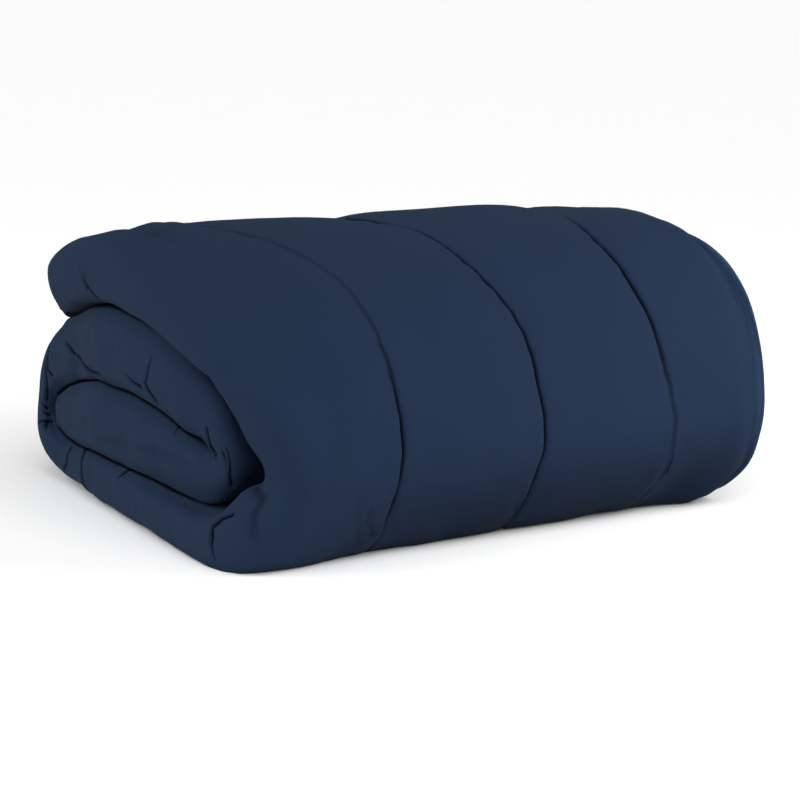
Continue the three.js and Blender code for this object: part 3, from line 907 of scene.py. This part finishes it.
smooth = plain & (on_face > 1 - SHADE_SEEN) & ~on_rim_line
# painted shade where the outer face nears the floor
low_shade = np.interp(places[:, 2], FLOOR_SHADE[:, 0], FLOOR_SHADE[:, 1])
low_shade = low_shade * smoothstep(rounds, *FLOOR_SHADE_ROUND)
shade = np.maximum(shade, np.maximum(touch_shade, low_shade))
comforter_mesh.attributes.new("shade", "FLOAT", "POINT").data.foreach_set("value", shade.astype(np.float32))

cloth_map = comforter_mesh.uv_layers.new(name="cloth")  # metres along the winding and round the section
corner_point = np.zeros(len(comforter_mesh.loops), np.int32)
comforter_mesh.loops.foreach_get("vertex_index", corner_point)
corner_counts = [len(face.vertices) for face in comforter_mesh.polygons]
corner_face = np.repeat(np.arange(len(corner_counts)), corner_counts)
corner_round = rounds[corner_point]
face_highest = np.full(len(comforter_mesh.polygons), -np.inf)
np.maximum.at(face_highest, corner_face, corner_round)
wraps = face_highest[corner_face] - corner_round > closed_run[-1] / 2
corner_map = np.stack((runs[corner_point], corner_round + wraps * closed_run[-1]), -1) * MM
cloth_map.data.foreach_set("uv", corner_map.astype(np.float32).ravel())
comforter_mesh.update()
comforter_mesh.shade_smooth()
comforter = add_object("comforter_cloth", comforter_mesh)

# The faces that lie on each other inside the roll are thinned out, since nobody sees them. So is smooth
# cloth in the open, but less. Creases, sewn lines, contact lines and the hem stay as fine as they are.
HIDDEN_ROWS = ((12.9, 17.1), (21.9, 33.2))  # where the outer face lies on the floor or on the next layer
HIDDEN_X = (-205.0, 215.0)  # between the two rims
HEM_X = 266.0  # the sewn rim past this is left as it is
INSIDE_ROWS = (0.6, 33.4)  # where the inner face is rolled in
KEPT_SHARE = 0.54  # of all triangles
OPEN_WEIGHT = 0.2  # how readily smooth cloth in the open is thinned out, where hidden faces have 1
between = (places[:, 0] > HIDDEN_X[0]) & (places[:, 0] < HIDDEN_X[1])
covered = np.zeros(len(places), bool)
for start_row, end_row in HIDDEN_ROWS:
    covered |= (row_at > start_row) & (row_at < end_row)
inside = (rounds < 0) & (row_at > INSIDE_ROWS[0]) & (row_at < INSIDE_ROWS[1])
to_thin = comforter.vertex_groups.new(name="to_thin")
to_thin.add(np.flatnonzero(smooth & (places[:, 0] < HEM_X)).tolist(), OPEN_WEIGHT, "REPLACE")
to_thin.add(np.flatnonzero(between & (covered | inside)).tolist(), 1.0, "REPLACE")
thinned = comforter.modifiers.new("thinned", "DECIMATE")
thinned.ratio, thinned.vertex_group = KEPT_SHARE, to_thin.name
thinned_comforter = comforter.evaluated_get(bpy.context.evaluated_depsgraph_get())
comforter_mesh = bpy.data.meshes.new_from_object(thinned_comforter)
comforter.modifiers.clear()
comforter.vertex_groups.clear()
comforter.data = comforter_mesh
comforter_mesh.name = "comforter_cloth"

# The thinning folds a few small faces of the open cloth over their neighbours. Their corners are evened
# out.
FOLDED_OVER = math.radians(72)  # faces that meet at more than this are folded over
FOLDED_AREA = 60.0  # those in the open are smaller than this
FOLDED_SHADE = 0.35  # and lie outside the creases, where the shade is less than this
FOLDED_ROUNDS = 8
skin = bmesh.new()
skin.from_mesh(comforter_mesh)
shade_layer = skin.verts.layers.float["shade"]
for _ in range(FOLDED_ROUNDS):
    skin.normal_update()
    folded = set()
    for edge in skin.edges:
        small = all(face.calc_area() < FOLDED_AREA * MM * MM for face in edge.link_faces)
        if small and edge.is_manifold and edge.calc_face_angle() > FOLDED_OVER:
            folded.update(edge.verts)
    loose = [corner for corner in folded if corner[shade_layer] < FOLDED_SHADE and corner.co.x < HEM_X * MM]
    bmesh.ops.smooth_vert(skin, verts=loose, factor=0.5, use_axis_x=True, use_axis_y=True, use_axis_z=True)
skin.to_mesh(comforter_mesh)
skin.free()


def linear(hex_colour):
    """A colour given as sRGB hex, as the linear values that shaders use."""
    parts = [int(hex_colour[i:i + 2], 16) / 255 for i in (1, 3, 5)]
    return tuple(c / 12.92 if c <= 0.04045 else ((c + 0.055) / 1.055) ** 2.4 for c in parts) + (1.0,)


def add_node(tree, kind, settings=None, links=None):
    """Adds a node, sets its properties and sockets, and links other nodes' outputs to its inputs."""
    made = tree.nodes.new(kind)
    for name, value in (settings or {}).items():
        if isinstance(name, str) and name not in made.inputs:
            setattr(made, name, value)
        else:
            made.inputs[name].default_value = value
    for name, source in (links or {}).items():
        tree.links.new(source, made.inputs[name])
    return made


def add_math(tree, operation, *values):
    """Adds a math node on numbers and other nodes' outputs, and gives its own output."""
    made = add_node(tree, "ShaderNodeMath", {"operation": operation})
    for socket, value in zip(made.inputs, values):
        if isinstance(value, bpy.types.NodeSocket):
            tree.links.new(value, socket)
        else:
            socket.default_value = value
    return made.outputs[0]


def new_material(name):
    """A material without nodes, and the tree for them."""
    made = bpy.data.materials.new(name)
    made.use_nodes = True
    made.node_tree.nodes.clear()
    return made, made.node_tree


# Brushed polyester microfibre. Its threads are too fine to see from a step away, so the eye gets an even,
# matt navy with hardly any bloom, cloudy where the nap lies differently. Painted shade darkens it near black
# in the bottom of a crease, along the sewn lines, where layers touch and where it turns under to the floor,
# and a painted highlight makes the pressed hem paler. The weave is drawn several times coarser than it is, so
# that it shows.
WEAVE_DRAWN = 1.6  # thread spacing as drawn, where the real one is about 0.2
WEAVE_HEIGHT = 0.05
NAP_SIZE, NAP_CHANGE = 4.0, 0.10
CLOUD_SIZE, CLOUD_CHANGE = 70.0, 0.08
# painted shade: how much the shade attribute darkens the cloth's colour
SHADE_CHANGE = -0.9
# painted highlight: how much paler the hem attribute makes the hem's pressed edge
HEM_HIGHLIGHT_GAIN = 1.15
BUMP_STRENGTH = 0.5
ROUGH_LEAST, ROUGH_CHANGE = 0.78, 0.12
NAVY = linear("#1d2a3e")[:3]
WAVE_PERIOD = math.tau / 20  # what a wave texture repeats over at scale 1
microfibre, cloth_tree = new_material("navy_microfibre")
on_cloth = add_node(cloth_tree, "ShaderNodeUVMap", {"uv_map": "cloth"}).outputs["UV"]
clouds, nap = (
    add_node(cloth_tree, "ShaderNodeTexNoise", {
        "Scale": 1 / (size * MM), "Detail": detail,
    }, {"Vector": on_cloth})
    for size, detail in ((CLOUD_SIZE, 2.0), (NAP_SIZE, 3.0))
)
in_shade = add_node(cloth_tree, "ShaderNodeAttribute", {"attribute_name": "shade"})
# the hem attribute is a painted highlight on the hem
hem_highlight_node = add_node(cloth_tree, "ShaderNodeAttribute", {"attribute_name": "hem"})
light_share = None
for source, change, around in (
    (clouds.outputs["Fac"], CLOUD_CHANGE, 0.5),
    (nap.outputs["Fac"], NAP_CHANGE, 0.5),
    (in_shade.outputs["Fac"], SHADE_CHANGE, 0.0),
    (hem_highlight_node.outputs["Fac"], HEM_HIGHLIGHT_GAIN, 0.0),
):
    factor = add_math(cloth_tree, "MULTIPLY_ADD", source, change, 1 - change * around)
    light_share = factor if light_share is None else add_math(cloth_tree, "MULTIPLY", light_share, factor)
navy = add_node(cloth_tree, "ShaderNodeVectorMath", {"operation": "SCALE", 0: NAVY}, {"Scale": light_share})
warp, weft = (
    add_node(cloth_tree, "ShaderNodeTexWave", {
        "bands_direction": way, "Scale": WAVE_PERIOD / (WEAVE_DRAWN * MM),
    }, {"Vector": on_cloth})
    for way in "XY"
)
threads = add_math(cloth_tree, "MULTIPLY", warp.outputs["Fac"], weft.outputs["Fac"])
relief = add_math(cloth_tree, "ADD", threads, nap.outputs["Fac"])
bump = add_node(cloth_tree, "ShaderNodeBump", {
    "Strength": BUMP_STRENGTH, "Distance": WEAVE_HEIGHT * MM,
}, {"Height": relief})
matt = add_math(cloth_tree, "MULTIPLY_ADD", nap.outputs["Fac"], ROUGH_CHANGE, ROUGH_LEAST)
cloth_shader = add_node(cloth_tree, "ShaderNodeBsdfPrincipled", {
    "Sheen Weight": 0.01, "Sheen Roughness": 0.5, "Specular IOR Level": 0.02,
}, {"Base Color": navy.outputs["Vector"], "Roughness": matt, "Normal": bump.outputs["Normal"]})
add_node(cloth_tree, "ShaderNodeOutputMaterial", links={"Surface": cloth_shader.outputs["BSDF"]})
comforter_mesh.materials.append(microfibre)

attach(comforter, "root")
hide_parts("comforter")


# The stitches: navy polyester thread, lock stitched through both faces and the filling along each sewn line,
# and once along the hem. The thread is drawn into the cloth, so that part of each stitch is sunk in it.
STITCH_PITCH = 4.2
STITCH_LENGTH = 3.3
STITCH_UNEVEN = (0.85, 1.1)  # the shares of that length between which stitches vary
THREAD = 0.55  # thickness
STITCH_STANDS = 0.25  # how far the middle of a stitch lies above the skin, in threads
STITCH_SINKS = 0.8  # and how much deeper where the sewn line doesn't show
STITCH_STRETCHES = ((0.2, 12.6), (17.4, 21.6))  # rows of the winding whose outer face can be seen

# Each line of stitches is a chain of points on the finished skin, sunk where the line hardly draws the
# cloth in.
skin_points = places[:number.size].reshape(along_count, loop_count, 3)
skin_normals = normals[:number.size].reshape(skin_points.shape)
line_points, line_edges = [], []
for k, j in enumerate([*seam_columns, sewn_start]):
    for start_row, end_row in STITCH_STRETCHES:
        stretch = np.flatnonzero((rows > start_row) & (rows < end_row))
        line_edges.extend((len(line_points) + n, len(line_points) + n + 1) for n in range(len(stretch) - 1))
        shows = np.ones(len(stretch))
        if k < len(SEAMS):
            shows = np.clip(along_table(SEAM_SHOWS, k + 1, rows[stretch], SEAM_EVEN), 0, 1)
        height = THREAD * (STITCH_STANDS - STITCH_SINKS * (1 - shows))
        line = skin_points[stretch, j] + height[:, None] * skin_normals[stretch, j]
        line[:, 2] = np.maximum(line[:, 2], THREAD)
        line_points.extend(line * MM)
line_mesh = bpy.data.meshes.new("stitch_lines")
line_mesh.from_pydata(np.array(line_points).tolist(), line_edges, [])

# Polyester thread: smoother than the cloth and a little paler, with a thin gloss along each stitch.
thread, thread_tree = new_material("navy_polyester_thread")
TWIST, TWIST_CHANGE = 0.4, 0.3  # spacing of the thread's twist, and how much it changes the colour
on_thread = add_node(thread_tree, "ShaderNodeTexCoord").outputs["Object"]
twist = add_node(thread_tree, "ShaderNodeTexWave", {
    "bands_direction": "DIAGONAL", "Scale": WAVE_PERIOD / (TWIST * MM),
}, {"Vector": on_thread})
twist_share = add_math(thread_tree, "MULTIPLY_ADD", twist.outputs["Fac"], TWIST_CHANGE, 1 - TWIST_CHANGE / 2)
thread_navy = add_node(thread_tree, "ShaderNodeVectorMath", {
    "operation": "SCALE", 0: linear("#1e2e46")[:3],
}, {"Scale": twist_share})
thread_shader = add_node(thread_tree, "ShaderNodeBsdfPrincipled", {
    "Roughness": 0.5, "Specular IOR Level": 0.3,
}, {"Base Color": thread_navy.outputs["Vector"]})
add_node(thread_tree, "ShaderNodeOutputMaterial", links={"Surface": thread_shader.outputs["BSDF"]})

sewing = bpy.data.node_groups.new("lock_stitches", "GeometryNodeTree")
sewing.interface.new_socket("Geometry", in_out="INPUT", socket_type="NodeSocketGeometry")
sewing.interface.new_socket("Geometry", in_out="OUTPUT", socket_type="NodeSocketGeometry")
stitch_sizes = {}
for name, value in {"Pitch": STITCH_PITCH, "Stitch length": STITCH_LENGTH, "Thread": THREAD}.items():
    socket = sewing.interface.new_socket(name, in_out="INPUT", socket_type="NodeSocketFloat")
    stitch_sizes[socket.identifier] = value * MM
given = add_node(sewing, "NodeGroupInput").outputs
sewn_path = add_node(sewing, "GeometryNodeMeshToCurve", links={"Mesh": given["Geometry"]})
spots = add_node(sewing, "GeometryNodeCurveToPoints", {"mode": "LENGTH"}, {
    "Curve": sewn_path.outputs["Curve"], "Length": given["Pitch"],
})
bead = add_node(sewing, "GeometryNodeMeshUVSphere", {"Segments": 6, "Rings": 4, "Radius": 0.5})
uneven_length = add_node(sewing, "FunctionNodeRandomValue", {
    "data_type": "FLOAT", "Seed": 4, 2: STITCH_UNEVEN[0], 3: STITCH_UNEVEN[1],
})
long_way = add_math(sewing, "MULTIPLY", given["Stitch length"], uneven_length.outputs[1])
sizes = add_node(sewing, "ShaderNodeCombineXYZ", links={
    "X": given["Thread"], "Y": given["Thread"], "Z": long_way,
})
laid = add_node(sewing, "GeometryNodeInstanceOnPoints", links={
    "Points": spots.outputs["Points"], "Instance": bead.outputs["Mesh"],
    "Rotation": spots.outputs["Rotation"], "Scale": sizes.outputs[0],
})
real = add_node(sewing, "GeometryNodeRealizeInstances", links={"Geometry": laid.outputs["Instances"]})
dyed = add_node(sewing, "GeometryNodeSetMaterial", {"Material": thread}, {
    "Geometry": real.outputs["Geometry"],
})
add_node(sewing, "NodeGroupOutput", links={"Geometry": dyed.outputs["Geometry"]})

stitch_lines = add_object("stitch_lines", line_mesh)
sewn = stitch_lines.modifiers.new("sewn", "NODES")
sewn.node_group = sewing
for identifier, value in stitch_sizes.items():
    sewn[identifier] = value
sewn_lines = stitch_lines.evaluated_get(bpy.context.evaluated_depsgraph_get())
stitch_mesh = bpy.data.meshes.new_from_object(sewn_lines)
bpy.data.objects.remove(stitch_lines)
stitch_mesh.name = "channel_stitches"
stitch_mesh.shade_smooth()
stitches = add_object("channel_stitches", stitch_mesh)
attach(stitches, "root")


# The studio: a white floor that runs out of sight, soft light from in front and above with a fill for
# each end, and a camera that looks at the folded rim and the front from a little above.
bpy.context.scene.view_settings.view_transform = "Standard"

FLOOR_HALF = 80.0  # metres
floor_corners = [(x * FLOOR_HALF, y * FLOOR_HALF, 0) for x, y in ((-1, -1), (1, -1), (1, 1), (-1, 1))]
floor_mesh = bpy.data.meshes.new("floor")
floor_mesh.from_pydata(floor_corners, [], [(0, 1, 2, 3)])
floor = add_object("floor", floor_mesh)
paper, paper_tree = new_material("white_paper_sweep")
paper_shader = add_node(paper_tree, "ShaderNodeBsdfPrincipled", {
    "Base Color": linear("#ffffff"), "Roughness": 0.95, "Specular IOR Level": 0.1,
})
add_node(paper_tree, "ShaderNodeOutputMaterial", links={"Surface": paper_shader.outputs["BSDF"]})
floor_mesh.materials.append(paper)

SKY_STRENGTH = 0.125
world = bpy.data.worlds.new("studio_white")
bpy.context.scene.world = world
world.use_nodes = True
world.node_tree.nodes.clear()
sky = add_node(world.node_tree, "ShaderNodeBackground", {"Color": (1, 1, 1, 1), "Strength": SKY_STRENGTH})
add_node(world.node_tree, "ShaderNodeOutputWorld", links={"Surface": sky.outputs["Background"]})

LIGHTS = {  # strength, azimuth from the front, elevation and spread in degrees
    "soft_key": (2.3, -10, 46, 70),
    "folded_end_fill": (2.35, -118, 27, 60),
}
for name, (strength, azimuth, elevation, spread) in LIGHTS.items():
    light_data = bpy.data.lights.new(name, "SUN")
    light_data.energy, light_data.angle = strength, math.radians(spread)
    light = add_object(name, light_data)
    around, up = math.radians(azimuth), math.radians(elevation)
    towards = Vector((math.sin(around) * math.cos(up), -math.cos(around) * math.cos(up), math.sin(up)))
    light.rotation_euler = towards.to_track_quat("Z", "Y").to_euler()

PANEL_WATTS, PANEL_SIZE = 12.0, 0.7
PANEL_PLACE, PANEL_TARGET = Vector((0.95, -0.85, 0.75)), Vector((0.1, -0.1, 0.12))
panel_data = bpy.data.lights.new("sewn_end_panel", "AREA")
panel_data.energy, panel_data.size = PANEL_WATTS, PANEL_SIZE
panel = add_object("sewn_end_panel", panel_data)
panel.location = PANEL_PLACE
panel.rotation_euler = (PANEL_PLACE - PANEL_TARGET).to_track_quat("Z", "Y").to_euler()

CAMERA_AZIMUTH, CAMERA_ELEVATION = math.radians(-29.63), math.radians(11.64)
CAMERA_TARGET = Vector((0.0, -0.028, 0.0973))
CAMERA_DISTANCE = 2.1
camera_data = bpy.data.cameras.new("camera")
camera_data.sensor_width = 36.0
camera_data.lens = 94.5
camera = add_object("camera", camera_data)
camera_back = Vector((
    math.sin(CAMERA_AZIMUTH) * math.cos(CAMERA_ELEVATION),
    -math.cos(CAMERA_AZIMUTH) * math.cos(CAMERA_ELEVATION),
    math.sin(CAMERA_ELEVATION),
))
camera.location = CAMERA_TARGET + camera_back * CAMERA_DISTANCE
camera.rotation_euler = (-camera_back).to_track_quat("-Z", "Y").to_euler()
bpy.context.scene.camera = camera
